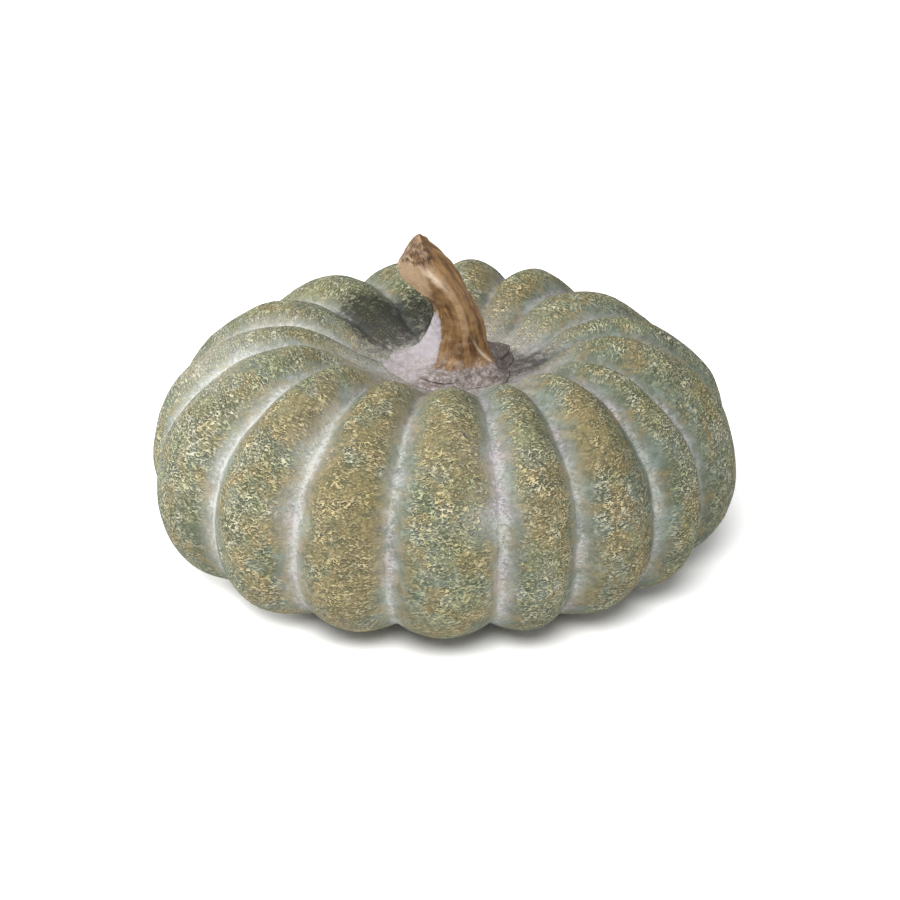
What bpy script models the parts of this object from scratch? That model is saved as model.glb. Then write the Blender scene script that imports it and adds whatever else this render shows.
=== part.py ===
"""A squat ceramic pumpkin figure: a hollow ribbed body, a stem cemented on its crown, and four felt pads.

Run it with: blender --background --python part.py
Metres, +Z up. The figure stands on its felt pads at z = 0, and its front lobe faces -Y.
Azimuths are in degrees, anticlockwise seen from above, and start at the front.
"""

import math

import bmesh
import bpy
import numpy as np

# ---- Driving dimensions --------------------------------------------------------------------------

UNIT = 0.115  # the body's nominal radius: every share below is a share of it
WALL = 0.005  # thickness of the slip-cast ceramic
GAP = 0.0003  # clearance between pieces that touch

PAD_RADIUS = 0.009
PAD_THICKNESS = 0.002
PAD_AZIMUTHS = {"front_right": 45, "back_right": 135, "back_left": 225, "front_left": 315}
PAD_RING_RADIUS = 0.050  # from the body's axis to each pad's centre

HOLE_SHARE = 0.085  # radius of the crown hole that takes the stem's tenon
VENT_SHARE = 0.110  # radius of the casting vent in the underside
BOND_THICKNESS = 0.0009
BOND_INNER_RADIUS = 0.0102
BOND_INSET = 0.94  # the cement's outline as a share of the stem foot's
TENON_RADIUS = 0.0092
TENON_LENGTH = 0.008

# ---- The body's shape ----------------------------------------------------------------------------

# Profile of a lobe's crest from the crown hole to the vent: radius, height over the ceramic's foot,
# and how deep the grooves beside it are. All are shares of UNIT.
SEAT_HEIGHT = 0.664
PROFILE = (
    (HOLE_SHARE, SEAT_HEIGHT, 0.0),
    (0.150, SEAT_HEIGHT, 0.0),
    (0.211, 0.668, 0.004),
    (0.324, 0.718, 0.018),
    (0.439, 0.794, 0.034),
    (0.573, 0.838, 0.062),
    (0.757, 0.789, 0.064),
    (0.960, 0.596, 0.060),
    (1.027, 0.330, 0.067),
    (0.952, 0.122, 0.058),
    (0.740, 0.012, 0.036),
    (0.550, 0.000, 0.008),
    (0.450, 0.000, 0.0),
    (0.330, 0.000, 0.0),
    (0.220, 0.030, 0.0),
    (VENT_SHARE, 0.050, 0.0),
)
WIDEST_HEIGHT = 0.330

# Each lobe, anticlockwise from the front one: its width in degrees, how far it bulges out of its
# grooves, and its height against the mean lobe's.
LOBES = (
    (23, 0.99, 0.98),
    (17, 0.92, 0.98),
    (20, 0.88, 0.99),
    (16, 0.96, 0.97),
    (28, 0.99, 0.99),
    (19, 0.84, 0.97),
    (28, 0.80, 0.98),
    (21, 1.00, 1.01),
    (23, 1.12, 1.02),
    (24, 1.00, 1.02),
    (28, 1.09, 1.01),
    (24, 1.01, 0.99),
    (21, 0.80, 1.00),
    (27, 1.10, 1.01),
    (21, 1.05, 1.02),
    (20, 0.95, 0.99),
)
LOBE_ROUNDNESS = 0.75  # below 1 makes round lobes that meet in creases
STEPS_ACROSS_LOBE = 6
STEPS_ALONG_PROFILE = 23

# The body isn't quite round. These are its radius's first and second harmonics at the widest height.
FRONT_FLATNESS = 0.038
OVALNESS = 0.033
OVAL_SKEW = 0.013
CROWN_OFFSET = (0.033, 0.017)  # of the crown and its stem from the body's axis, as shares of UNIT
ROUND_WITHIN = 0.20  # inside this radius the crown is round

# ---- The stem's shape ----------------------------------------------------------------------------

# Stations up the stem: sideways and upward position of the section's centre over the foot's
# underside, tilt of the section in degrees, its half width across, and its half width front to
# back. Lengths are shares of UNIT.
STEM_STATIONS = (
    (0.000, 0.000, 0, 0.130, 0.135),
    (0.000, 0.014, 0, 0.130, 0.135),
    (0.012, 0.030, 0, 0.112, 0.115),
    (0.022, 0.056, 0, 0.096, 0.096),
    (0.026, 0.092, 0, 0.087, 0.086),
    (0.027, 0.137, 1, 0.081, 0.080),
    (0.021, 0.184, 4, 0.074, 0.076),
    (0.010, 0.222, 9, 0.068, 0.072),
    (-0.009, 0.261, 15, 0.066, 0.070),
    (-0.038, 0.299, 22, 0.071, 0.070),
    (-0.072, 0.335, 26, 0.081, 0.072),
    (-0.104, 0.367, 29, 0.084, 0.072),
    (-0.124, 0.400, 30, 0.076, 0.064),
    (-0.132, 0.427, 31, 0.063, 0.052),
    (-0.133, 0.452, 31, 0.045, 0.036),
    (-0.131, 0.470, 31, 0.027, 0.021),
    (-0.121, 0.486, 31, 0.008, 0.007),
)
# Each root's azimuth, its reach past the foot's round core, and how high it climbs the shaft.
STEM_ROOTS = (
    (58, 0.045, 0.30),
    (122, 0.110, 0.14),
    (190, 0.060, 0.15),
    (262, 0.100, 0.36),
    (312, 0.040, 0.20),
    (345, 0.045, 0.06),
)
ROOT_WIDTH = 24  # degrees
FLANGE = 0.02  # thickness of the foot's edge
ROOT_ARCH = 0.25  # how far the underside rises along a root, as a share of its reach
FLUTES = 5
FLUTE_DEPTH = 0.05  # as a share of the section's half width
STEM_TWIST = 35  # degrees, from the foot to the head
# The flat cut across the front left of the head: outward direction, and distance from the middle of
# the foot's underside.
CUT_FACING = (-0.62, -0.74, -0.26)
CUT_DISTANCE = 0.020
CUT_ABOVE = 0.25
STEPS_AROUND_STEM = 48

# ---- Materials: colour, roughness ----------------------------------------------------------------

CERAMIC = ("ceramic_green", (0.27, 0.30, 0.22), 0.85)
STEM_PAINT = ("stem_brown", (0.33, 0.20, 0.09), 0.45)
CEMENT = ("cement_grey", (0.45, 0.42, 0.41), 0.9)
FELT = ("felt_grey", (0.20, 0.18, 0.16), 1.0)


def clear_scene():
    for obj in list(bpy.data.objects):
        bpy.data.objects.remove(obj, do_unlink=True)


def material(name, colour, roughness):
    made = bpy.data.materials.new(name)
    made.use_nodes = True
    shader = made.node_tree.nodes["Principled BSDF"]
    shader.inputs["Base Color"].default_value = (*colour, 1.0)
    shader.inputs["Roughness"].default_value = roughness
    shader.inputs["Metallic"].default_value = 0.0
    made.diffuse_color = (*colour, 1.0)
    return made


def add_object(name, bm, look, collection, parent):
    """A mesh object made from bm, smooth shaded with sharp edges kept."""
    bmesh.ops.recalc_face_normals(bm, faces=bm.faces)
    mesh = bpy.data.meshes.new(name)
    bm.to_mesh(mesh)
    bm.free()
    mesh.shade_smooth()
    mesh.set_sharp_from_angle(angle=math.radians(40))
    mesh.materials.append(look)
    obj = bpy.data.objects.new(name, mesh)
    obj.parent = parent
    collection.objects.link(obj)
    return obj


def spline(points, steps):
    """Points evenly spread in parameter along a Catmull-Rom curve through the given ones."""
    knots = np.array(points, float)
    ends = np.vstack([2 * knots[0] - knots[1], knots, 2 * knots[-1] - knots[-2]])
    found = []
    for place in np.linspace(0, len(knots) - 1, steps + 1):
        i = min(int(place), len(knots) - 2)
        t = place - i
        a, b, c, d = ends[i : i + 4]
        found.append(
            0.5 * (2 * b + (c - a) * t + (2 * a - 5 * b + 4 * c - d) * t**2 + (3 * b - a - 3 * c + d) * t**3)
        )
    return np.array(found)


def loft(rings, closed=False):
    """A bmesh skin over rings that have the same number of points. closed joins the last to the first."""
    bm = bmesh.new()
    loops = [[bm.verts.new(point) for point in ring] for ring in rings]
    pairs = list(zip(loops, loops[1:]))
    if closed:
        pairs.append((loops[-1], loops[0]))
    for low, high in pairs:
        for i in range(len(low)):
            j = (i + 1) % len(low)
            bm.faces.new((low[i], low[j], high[j], high[i]))
    return bm, loops


# ---- Body ----------------------------------------------------------------------------------------


def body_profile():
    """Crest radii, crest heights, and the inward normal times the groove's depth, as rows."""
    line = spline(PROFILE, STEPS_ALONG_PROFILE)
    crest, depth = line[:, :2], line[:, 2]
    inner_part = crest[:, 0] < 0.7
    upper = np.arange(len(crest)) < len(crest) / 2
    floor = np.where(upper, SEAT_HEIGHT, 0.0)
    crest[:, 1] = np.where(inner_part, np.maximum(crest[:, 1], floor), crest[:, 1])
    along = np.gradient(crest, axis=0)
    inward = np.stack([along[:, 1], -along[:, 0]], axis=1)
    inward /= np.linalg.norm(inward, axis=1, keepdims=True)
    return crest, inward * np.maximum(depth, 0.0)[:, None], upper


def lobe_samples():
    """For each azimuth step: its angle in radians, how far the surface stands between groove and
    crest, and the lobe's height factor."""
    middles, angle = [], -LOBES[0][0] / 2
    for width, _, _ in LOBES:
        middles.append(angle + width / 2)
        angle += width
    heights = [lobe[2] for lobe in LOBES]
    samples, start = [], -LOBES[0][0] / 2
    for width, bulge, _ in LOBES:
        for step in range(STEPS_ACROSS_LOBE):
            across = (1 - math.cos(math.pi * step / STEPS_ACROSS_LOBE)) / 2
            azimuth = start + across * width
            rise = bulge * math.sin(math.pi * across) ** LOBE_ROUNDNESS if step else 0.0
            height = np.interp(azimuth, middles, heights, period=360)
            samples.append((math.radians(azimuth), rise, height))
        start += width
    return samples


def body_rings():
    """The outer surface as rings round the axis, from the crown hole to the vent."""
    crest, groove_offset, upper = body_profile()
    samples = lobe_samples()
    rings = []
    for point, offset, on_top in zip(crest, groove_offset, upper):
        ring = []
        for azimuth, rise, height in samples:
            radius, z = point + offset * (1 - rise)
            spread = min(max((radius - ROUND_WITHIN) / (1 - ROUND_WITHIN), 0.0), 1.0)
            radius *= 1 + spread * (
                -FRONT_FLATNESS * math.cos(azimuth)
                - OVALNESS * math.cos(2 * azimuth)
                - OVAL_SKEW * math.sin(2 * azimuth)
            )
            x, y = radius * math.sin(azimuth), -radius * math.cos(azimuth)
            if on_top:
                x += CROWN_OFFSET[0] * (1 - spread)
                y += CROWN_OFFSET[1] * (1 - spread)
                if spread > 0:
                    z += max(z - WIDEST_HEIGHT, 0.0) * (height - 1)
            ring.append((x * UNIT, y * UNIT, z * UNIT + PAD_THICKNESS + GAP))
        rings.append(ring)
    return rings


def add_body(rings, look, collection, parent):
    bm, _ = loft(rings)
    body = add_object("body_shell", bm, look, collection, parent)
    wall = body.modifiers.new("wall", "SOLIDIFY")
    wall.thickness = WALL
    wall.offset = -1.0
    wall.use_rim = True
    return body


# ---- Stem and its cement -------------------------------------------------------------------------


def foot_height():
    """Height of the foot's underside over the floor."""
    return SEAT_HEIGHT * UNIT + PAD_THICKNESS + BOND_THICKNESS + 3 * GAP


def root_bump(azimuth, height):
    """How far the roots stand out of the stem here, as a share of UNIT."""
    reach = 0.0
    for root, length, climb in STEM_ROOTS:
        away = (azimuth - root + 180) % 360 - 180
        reach += length * max(1 - height / climb, 0.0) ** 2 * math.exp(-((away / ROOT_WIDTH) ** 2))
    return reach


def stem_ring(station, twist, arch=0.0):
    """One section of the stem, in metres from the centre of the foot's underside."""
    x0, z0, tilt, across, deep = station
    lean = math.radians(tilt)
    facing = np.array(CUT_FACING) / np.linalg.norm(CUT_FACING)
    ring = []
    for step in range(STEPS_AROUND_STEM):
        azimuth = 360 * step / STEPS_AROUND_STEM
        bump = root_bump(azimuth, z0)
        angle = math.radians(azimuth)
        flute = 1 + FLUTE_DEPTH * math.cos(FLUTES * (angle - math.radians(twist)))
        side = (across * flute + bump) * math.sin(angle)
        y = -(deep * flute + bump) * math.cos(angle)
        point = np.array((x0 + side * math.cos(lean), y, z0 + side * math.sin(lean) + arch * bump))
        if z0 > CUT_ABOVE:
            point -= facing * max(point @ facing - CUT_DISTANCE, 0.0)
        ring.append(tuple(point * UNIT))
    return ring


def round_ring(radius, z):
    turns = [2 * math.pi * step / STEPS_AROUND_STEM for step in range(STEPS_AROUND_STEM)]
    return [(radius * math.sin(turn), -radius * math.cos(turn), z) for turn in turns]


def crown_centre(height):
    return (CROWN_OFFSET[0] * UNIT, CROWN_OFFSET[1] * UNIT, height)


def add_stem(look, collection, parent):
    """The tenon, the foot with its roots, the twisted shaft and the flared, slanting head."""
    stations = spline(STEM_STATIONS, len(STEM_STATIONS) + 7)
    rings = [round_ring(TENON_RADIUS, -TENON_LENGTH), round_ring(TENON_RADIUS, 0.0)]
    for i, station in enumerate(stations):
        arch = ROOT_ARCH if station[1] < FLANGE else 0.0
        rings.append(stem_ring(station, STEM_TWIST * i / (len(stations) - 1), arch))
    bm, loops = loft(rings)
    bm.faces.new(loops[0])
    bm.faces.new(loops[-1])
    stem = add_object("stem", bm, look, collection, parent)
    stem.location = crown_centre(foot_height())
    return stem


def add_cement(look, collection, parent):
    """The bed of cement between the crown's seat and the stem's foot, whose arched underside it follows."""
    outline = stem_ring(STEM_STATIONS[0], 0, ROOT_ARCH * BOND_INSET**2)
    outer = [(x * BOND_INSET, y * BOND_INSET, z) for x, y, z in outline]
    inner = round_ring(BOND_INNER_RADIUS, 0.0)
    rings = [
        [(x, y, z + height) for x, y, z in side]
        for side, height in ((inner, 0), (outer, 0), (outer, BOND_THICKNESS), (inner, BOND_THICKNESS))
    ]
    bm, _ = loft(rings, closed=True)
    cement = add_object("stem_cement", bm, look, collection, parent)
    cement.location = crown_centre(foot_height() - GAP - BOND_THICKNESS)
    return cement


# ---- Felt pads -----------------------------------------------------------------------------------


def add_pads(look, collection, parent):
    for place, azimuth in PAD_AZIMUTHS.items():
        bm = bmesh.new()
        bmesh.ops.create_cone(
            bm, cap_ends=True, segments=32, radius1=PAD_RADIUS, radius2=PAD_RADIUS, depth=PAD_THICKNESS
        )
        pad = add_object(f"felt_pad_{place}", bm, look, collection, parent)
        turn = math.radians(azimuth)
        pad.location = (
            PAD_RING_RADIUS * math.sin(turn),
            -PAD_RING_RADIUS * math.cos(turn),
            PAD_THICKNESS / 2,
        )


def main():
    clear_scene()
    collection = bpy.data.collections.new("ceramic_pumpkin")
    bpy.context.scene.collection.children.link(collection)
    rings = body_rings()
    low, high = np.min(rings, axis=(0, 1)), np.max(rings, axis=(0, 1))
    axis = bpy.data.objects.new("body_axis", None)
    axis.location = (-(low[0] + high[0]) / 2, -(low[1] + high[1]) / 2, 0.0)
    collection.objects.link(axis)
    add_body(rings, material(*CERAMIC), collection, axis)
    add_stem(material(*STEM_PAINT), collection, axis)
    add_cement(material(*CEMENT), collection, axis)
    add_pads(material(*FELT), collection, axis)


main()
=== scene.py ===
"""Looks of the squat ceramic pumpkin figure: its painted body, stem, cement, pads, and a plain studio.

Metres, +Z up, with the front lobe facing -Y. Azimuths are in degrees, anticlockwise seen from above,
and start at the front. Paint patterns are in millimetres.
"""

import math

import bmesh
import bpy
import numpy as np
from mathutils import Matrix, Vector, noise
from mathutils.bvhtree import BVHTree

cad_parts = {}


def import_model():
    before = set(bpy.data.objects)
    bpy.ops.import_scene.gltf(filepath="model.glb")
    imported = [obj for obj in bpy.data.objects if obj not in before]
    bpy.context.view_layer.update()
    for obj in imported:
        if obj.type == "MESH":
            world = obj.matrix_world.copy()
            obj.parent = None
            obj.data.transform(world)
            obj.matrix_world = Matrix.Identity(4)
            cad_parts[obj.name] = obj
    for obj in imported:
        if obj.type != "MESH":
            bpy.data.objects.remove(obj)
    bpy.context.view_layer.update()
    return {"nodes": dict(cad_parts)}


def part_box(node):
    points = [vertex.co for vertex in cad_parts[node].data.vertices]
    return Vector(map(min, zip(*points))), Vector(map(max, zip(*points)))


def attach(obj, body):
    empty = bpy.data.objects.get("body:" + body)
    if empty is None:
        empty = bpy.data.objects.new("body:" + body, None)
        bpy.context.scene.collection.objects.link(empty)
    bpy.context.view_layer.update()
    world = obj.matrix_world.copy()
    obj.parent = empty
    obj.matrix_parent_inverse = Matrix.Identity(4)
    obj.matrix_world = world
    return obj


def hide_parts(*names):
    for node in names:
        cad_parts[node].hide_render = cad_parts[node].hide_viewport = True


# ---- Driving dimensions, as in the model ---------------------------------------------------------

UNIT = 0.115  # the body's nominal radius: every share below is a share of it
WALL = 0.005  # thickness of the slip-cast ceramic
FOOT_LIFT = 0.0023  # of the ceramic's foot over the floor
BOND = 0.0015  # the cement and its gaps, between the crown's seat and the stem's foot

HOLE_SHARE = 0.085  # radius of the crown hole that takes the stem's tenon
VENT_SHARE = 0.110  # radius of the casting vent in the underside
SEAT_HEIGHT = 0.664
WIDEST_HEIGHT = 0.330

# Profile of a lobe's crest from the crown hole to the vent: radius, height over the ceramic's foot,
# and how deep the grooves beside it are.
PROFILE = (
    (HOLE_SHARE, SEAT_HEIGHT, 0.0),
    (0.150, SEAT_HEIGHT, 0.0),
    (0.211, 0.668, 0.004),
    (0.324, 0.718, 0.018),
    (0.439, 0.794, 0.034),
    (0.573, 0.838, 0.062),
    (0.757, 0.789, 0.064),
    (0.960, 0.596, 0.060),
    (1.027, 0.330, 0.067),
    (0.952, 0.122, 0.058),
    (0.740, 0.012, 0.036),
    (0.550, 0.000, 0.008),
    (0.450, 0.000, 0.0),
    (0.330, 0.000, 0.0),
    (0.220, 0.030, 0.0),
    (VENT_SHARE, 0.050, 0.0),
)

# Each lobe, anticlockwise from the front one: its width in degrees, its bulge, its height factor,
# and how ochre, how lime green, how dark and how lime-washed its paint is.
LOBES = (
    (23, 0.99, 0.98, 0.40, 0.45, 0.25, 0.40),
    (17, 0.92, 0.98, 0.25, 0.35, 0.45, 0.35),
    (20, 0.88, 0.99, 0.60, 0.25, 0.45, 0.20),
    (16, 0.96, 0.97, 0.15, 0.45, 0.70, 0.12),
    (28, 0.99, 0.99, 0.35, 0.60, 0.35, 0.10),
    (19, 0.84, 0.97, 0.25, 0.45, 0.45, 0.10),
    (28, 0.80, 0.98, 0.30, 0.40, 0.50, 0.10),
    (21, 1.00, 1.01, 0.50, 0.35, 0.55, 0.15),
    (23, 1.12, 1.02, 0.55, 0.30, 0.50, 0.15),
    (24, 1.00, 1.02, 0.20, 0.55, 0.60, 0.20),
    (28, 1.09, 1.01, 0.15, 0.60, 0.60, 0.30),
    (24, 1.01, 0.99, 0.35, 0.30, 0.25, 0.85),
    (21, 0.80, 1.00, 0.25, 0.35, 0.25, 0.85),
    (27, 1.10, 1.01, 0.25, 0.35, 0.40, 0.60),
    (21, 1.05, 1.02, 0.50, 0.35, 0.35, 0.65),
    (20, 0.95, 0.99, 0.65, 0.25, 0.55, 0.30),
)
# Places where one paint is stronger, or weaker: azimuth, share of the way down the profile, radius
# in millimetres, and strength. Shade is soft black: painted shade in the shaded recesses by the stem,
# and partly dark grime on the crown's right. Milk is more of the pale wash.
PAINT_PATCHES = {
    "ochre": (
        (1, 0.33, 10, 0.45),
        (341, 0.43, 15, 0.65),
        (341, 0.57, 8, 0.45),
        (322, 0.33, 12, 0.50),
        (256, 0.24, 10, 0.35),
        (22, 0.46, 10, 0.50),
        (35, 0.37, 10, 0.50),
        (36, 0.52, 9, 0.35),
        (75, 0.41, 8, 0.30),
    ),
    "lime": (
        (5, 0.47, 10, 0.50),
        (304, 0.27, 14, 0.40),
        (21, 0.35, 10, 0.35),
    ),
    "dark": (
        (341, 0.45, 15, 0.90),
        (341, 0.32, 12, 0.45),
        (322, 0.38, 14, 0.40),
        (300, 0.56, 16, 0.80),
        (36, 0.42, 12, 0.40),
        (68, 0.54, 14, 0.35),
    ),
    "slate": (
        (353, 0.53, 9, 0.50),
        (328, 0.46, 10, 0.40),
        (298, 0.56, 14, 0.50),
        (15, 0.45, 10, 0.55),
        (32, 0.56, 9, 0.50),
        (49, 0.42, 15, 0.70),
    ),
    "cream": (
        (355, 0.44, 9, 0.35),
        (8, 0.50, 10, 0.40),
        (340, 0.43, 14, -0.28),
        (342, 0.51, 6, 0.30),
        (300, 0.43, 16, 0.40),
        (279, 0.36, 16, 0.45),
        (304, 0.56, 12, -0.25),
        (35, 0.45, 8, 0.50),
        (19, 0.40, 12, 0.40),
        (37, 0.35, 9, -0.28),
        (66, 0.42, 18, 0.45),
    ),
    "shade": (
        (226, 0.13, 15, 1.10),
        (195, 0.13, 11, 0.60),
        (270, 0.09, 11, 0.30),
        (92, 0.07, 14, 0.75),
    ),
    "milk": (
        (10, 0.44, 8, 0.55),
        (11, 0.35, 10, 0.25),
        (271, 0.34, 16, 0.25),
        (329, 0.36, 8, 0.40),
        (329, 0.46, 8, 0.35),
        (284, 0.30, 16, 0.25),
    ),
}
LOBE_PAINTS = {"ochre": 5, "lime": 6, "dark": 7, "pale": 8}  # their columns in body_columns
PAINT_KINDS = (*LOBE_PAINTS, "slate", "cream", "shade", "milk")
LOBE_ROUNDNESS = 0.75  # below 1 makes round lobes that meet in creases
CREASE_SOFTNESS = 0.26  # how rounded those creases are, as a share of a lobe's rise
STEPS_ACROSS_LOBE = 22
STEPS_ALONG_PROFILE = 110
PROFILE_STEP_MM = 2.4  # between rows of the body's grid
FLAT_WITHIN = 0.7  # inside this radius the profile doesn't dip below the seat or the foot
BODY_LUMPS = ((0.030, 0.0007, 3.1), (0.009, 0.00035, 8.2))  # size and height in metres, and seed
EVEN_SEAT = (0.24 * UNIT, 0.34 * UNIT)  # radii between which the lumps begin, on top and below
EVEN_FOOT = (0.003, 0.020)  # heights between which they begin, below only

# The body isn't quite round. These are its radius's first and second harmonics at the widest height.
FRONT_FLATNESS = 0.038
OVALNESS = 0.033
OVAL_SKEW = 0.013
CROWN_OFFSET = (0.033, 0.017)  # of the crown and its stem from the body's axis, as shares of UNIT
ROUND_WITHIN = 0.20  # inside this radius the crown is round

WASH_OFFSET_MM = 0.9  # how far past the bottom of a groove the wash is centred
WASH_FADES = (0.7, 0.8)  # how fast it fades on the lobe after the groove, and on the one before
NARROWEST_WASHED_MM = 34  # where lobes get narrower than this, towards the crown, so does the wash
CROWN_WASH_CENTRE = (0.033, -0.050)
LOBE_ARC_MM = 1150  # a lobe's width over its curve, for each metre of its width straight across
DAB_WIDENING = 0.62  # makes the dabs wider across a lobe than along it
LOBE_SHIFT_MM = 37.0  # how far apart the dabs' patterns on neighbouring lobes are

# Stations up the stem: sideways and upward position of the section's centre over the foot's
# underside, tilt in degrees, half width across, and half width front to back.
STEM_STATIONS = (
    (0.000, 0.000, 0, 0.130, 0.135),
    (0.000, 0.014, 0, 0.130, 0.135),
    (0.012, 0.030, 0, 0.112, 0.115),
    (0.022, 0.056, 0, 0.096, 0.096),
    (0.026, 0.092, 0, 0.087, 0.086),
    (0.027, 0.137, 1, 0.081, 0.080),
    (0.021, 0.184, 4, 0.074, 0.076),
    (0.010, 0.222, 9, 0.068, 0.072),
    (-0.009, 0.261, 15, 0.066, 0.070),
    (-0.038, 0.299, 22, 0.071, 0.070),
    (-0.072, 0.335, 26, 0.081, 0.072),
    (-0.104, 0.367, 29, 0.084, 0.072),
    (-0.124, 0.400, 30, 0.076, 0.064),
    (-0.132, 0.427, 31, 0.063, 0.052),
    (-0.133, 0.452, 31, 0.045, 0.036),
    (-0.131, 0.470, 31, 0.027, 0.021),
    (-0.121, 0.486, 31, 0.008, 0.007),
)
# Each root's azimuth, its reach past the foot's round core, and how high it climbs the shaft.
STEM_ROOTS = (
    (58, 0.045, 0.30),
    (122, 0.110, 0.14),
    (190, 0.060, 0.15),
    (262, 0.100, 0.36),
    (312, 0.040, 0.20),
    (345, 0.045, 0.06),
)
ROOT_WIDTH = 24  # degrees
FLANGE = 0.02  # thickness of the foot's edge
ROOT_ARCH = 0.25  # how far the underside rises along a root, as a share of its reach
ROOT_ARCH_FADE = 0.12  # height by which the roots' arch has died out, higher than in the model
FLUTES = 5
FLUTE_DEPTH = 0.05  # as a share of the section's half width
STEM_TWIST = 35  # degrees, from the foot to the head
STEM_LUMPS = ((0.045, 0.006, 5.5), (0.020, 0.003, 9.1))  # size and height in shares, and seed
TENON_RADIUS = 0.0092
TENON_LENGTH = 0.008
TENON_SHOULDER = 0.001  # depth of the slope from the tenon out to the foot
STEPS_AROUND_STEM = 160
STEPS_ALONG_STEM = 150
STEM_AZIMUTHS = np.arange(STEPS_AROUND_STEM) * 360 / STEPS_AROUND_STEM

# The flat cut across the front left of the head: outward direction, distance from the middle of the
# foot's underside, the height it starts at, and how gradually its colour sets in.
CUT_WAY = (-0.62, -0.74, -0.26)
CUT_FACING = np.array(CUT_WAY) / np.linalg.norm(CUT_WAY)
CUT_DISTANCE = 0.020
CUT_ABOVE = 0.25
CUT_EDGE = 0.008
CUT_MARKS = ((0.463, 0.0003), (0.437, 0.0003), (0.412, 0.0004))  # height, and rise for each degree left

# Marks in the stem's paint, in degrees. The pale side of the foot starts over the first range to the
# left of the front, and ends over the second.
PALE_SIDE = ((32, 52), (145, 170))
# The foot's paint is darker round this azimuth, fading out within this many degrees of it.
DARKER_AZIMUTH = 105
DARKER_REACH = 50
# The head's gleam, and the seam's below it, are painted highlights.
HEAD_GLEAM = (12, 0.345)  # azimuth and height
SEAM = (72, 340)  # azimuth at the foot, and degrees that it turns back over one UNIT of height
GRAIN_RADIUS_MM = 8.0  # of the round that the streaks' pattern is wrapped on
STREAK_STEP_MM = 0.08  # along that pattern for each row of the stem's grid: the streaks are long

FILLET_WIDTH = 0.0066
FILLET_LUMPS = ((0.35, 3.1), (0.15, 9.0))  # share of its width, and how quickly it varies
FILLET_LOSS = 0.2  # how much narrower it gets where a root reaches out, as a share of that reach
FILLET_SINK = 0.0002  # into the crown
# The cement's fillet, from under the foot round over the crown and back: share of its width from
# the foot's edge, and share of the foot's thickness over the crown.
FILLET_SECTION = (
    (-0.9, 0.05),
    (1.0, 0.0),
    (0.7, 0.12),
    (0.4, 0.38),
    (0.15, 0.72),
    (0.0, 0.93),
    (-0.15, 1.08),
    (-0.4, 1.18),
    (-0.9, 0.8),
)
PAD_EDGE = 0.0005  # how far the pads' edges are rounded

# ---- Camera and light ----------------------------------------------------------------------------

# Places are in metres, and the lights' sizes are diameters.
CAMERA_ELEVATION = 25.0
CAMERA_DISTANCE = 6.337 * UNIT
CAMERA_LENS = 70.4
CAMERA_AIM_HEIGHT = 0.42 * UNIT + FOOT_LIFT
CAMERA_SHIFT = (0.007, -0.018)
WORLD_STRENGTH = 0.60
KEY_LIGHT = {"at": (-0.15, -1.35, 1.5), "size": 0.9, "watts": 46.0}
SIDE_LIGHT = {"at": (-1.65, 0.1, 1.15), "size": 1.0, "watts": 38.0}
LIGHT_AIM_HEIGHT = 0.05
FLOOR_REACH = 6.0

# ---- Colours, as screen values from 0 to 255 in the studio's light -------------------------------

STUDIO_LEVEL = 1.38  # how much brighter that light is than one that shows a surface's own colour
SLATE = (106, 118, 108)
OLIVE = (124, 122, 92)
MOSS = (72, 79, 60)
RUST = (128, 112, 74)
CREAM = (212, 208, 184)
KHAKI = (192, 188, 154)
LIME = (180, 186, 140)
OCHRE = (198, 177, 126)
# Dark for painted shade in the grain's low spots and under its edges, and for the grime's dark specks.
SHADE_AND_SPECK = (52, 52, 40)
# Soft black for painted shade in the recesses by the stem, partly dark grime on the crown's right.
SHADE = (34, 35, 30)
WASH = (182, 184, 178)
LILAC = (190, 183, 187)
LIMEWASH = (210, 210, 206)
GRIME = (160, 151, 148)
CLAY = (206, 190, 166)
CARAMEL = (131, 101, 66)
UMBER = (88, 60, 34)
CUT_MARK = (72, 46, 24)
HONEY = (166, 128, 78)
# Peach and gleam are the colours of painted highlights on the stem.
PEACH = (210, 180, 144)
GLEAM = (232, 212, 188)
CUT_WOOD = (178, 151, 121)
GREY_BROWN = (118, 106, 98)
ROOT_PALE = (169, 163, 169)
ROOT_LILAC = (162, 153, 151)
ROOT_DARK = (66, 56, 50)
FELT = (84, 78, 72)
FELT_PALE = (112, 106, 98)
FLOOR = (251, 251, 251)


def linear(colour, level=STUDIO_LEVEL):
    """The linear values for a shader whose surface looks like colour under a light of that level."""
    shares = [value / 255 for value in colour]
    return [(s / 12.92 if s <= 0.04045 else ((s + 0.055) / 1.055) ** 2.4) / level for s in shares] + [1.0]


def smoothstep(value, low, high):
    """A smooth step from 0 at low to 1 at high."""
    share = np.clip((value - low) / (high - low), 0.0, 1.0)
    return share * share * (3 - 2 * share)


def angle_between(azimuth, other):
    """Signed degrees from other to azimuth, from -180 to 180."""
    return (azimuth - other + 180) % 360 - 180


# ---- Mesh helpers --------------------------------------------------------------------------------


def spline(points, steps):
    """Points evenly spread in parameter along a Catmull-Rom curve through the given ones."""
    knots = np.array(points, float)
    ends = np.vstack([2 * knots[0] - knots[1], knots, 2 * knots[-1] - knots[-2]])
    found = []
    for place in np.linspace(0, len(knots) - 1, steps + 1):
        i = min(int(place), len(knots) - 2)
        t = place - i
        a, b, c, d = ends[i : i + 4]
        found.append(
            0.5 * (2 * b + (c - a) * t + (2 * a - 5 * b + 4 * c - d) * t**2 + (3 * b - a - 3 * c + d) * t**3)
        )
    return np.array(found)


def even_spline(points, steps, keys=2):
    """The same curve, with its points evenly spaced along the first keys columns."""
    dense = spline(points, 40 * len(points))
    lengths = np.linalg.norm(np.diff(dense[:, :keys], axis=0), axis=1)
    travelled = np.concatenate([[0.0], np.cumsum(lengths)])
    wanted = np.linspace(0, travelled[-1], steps + 1)
    return np.stack([np.interp(wanted, travelled, column) for column in dense.T], axis=1)


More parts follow.
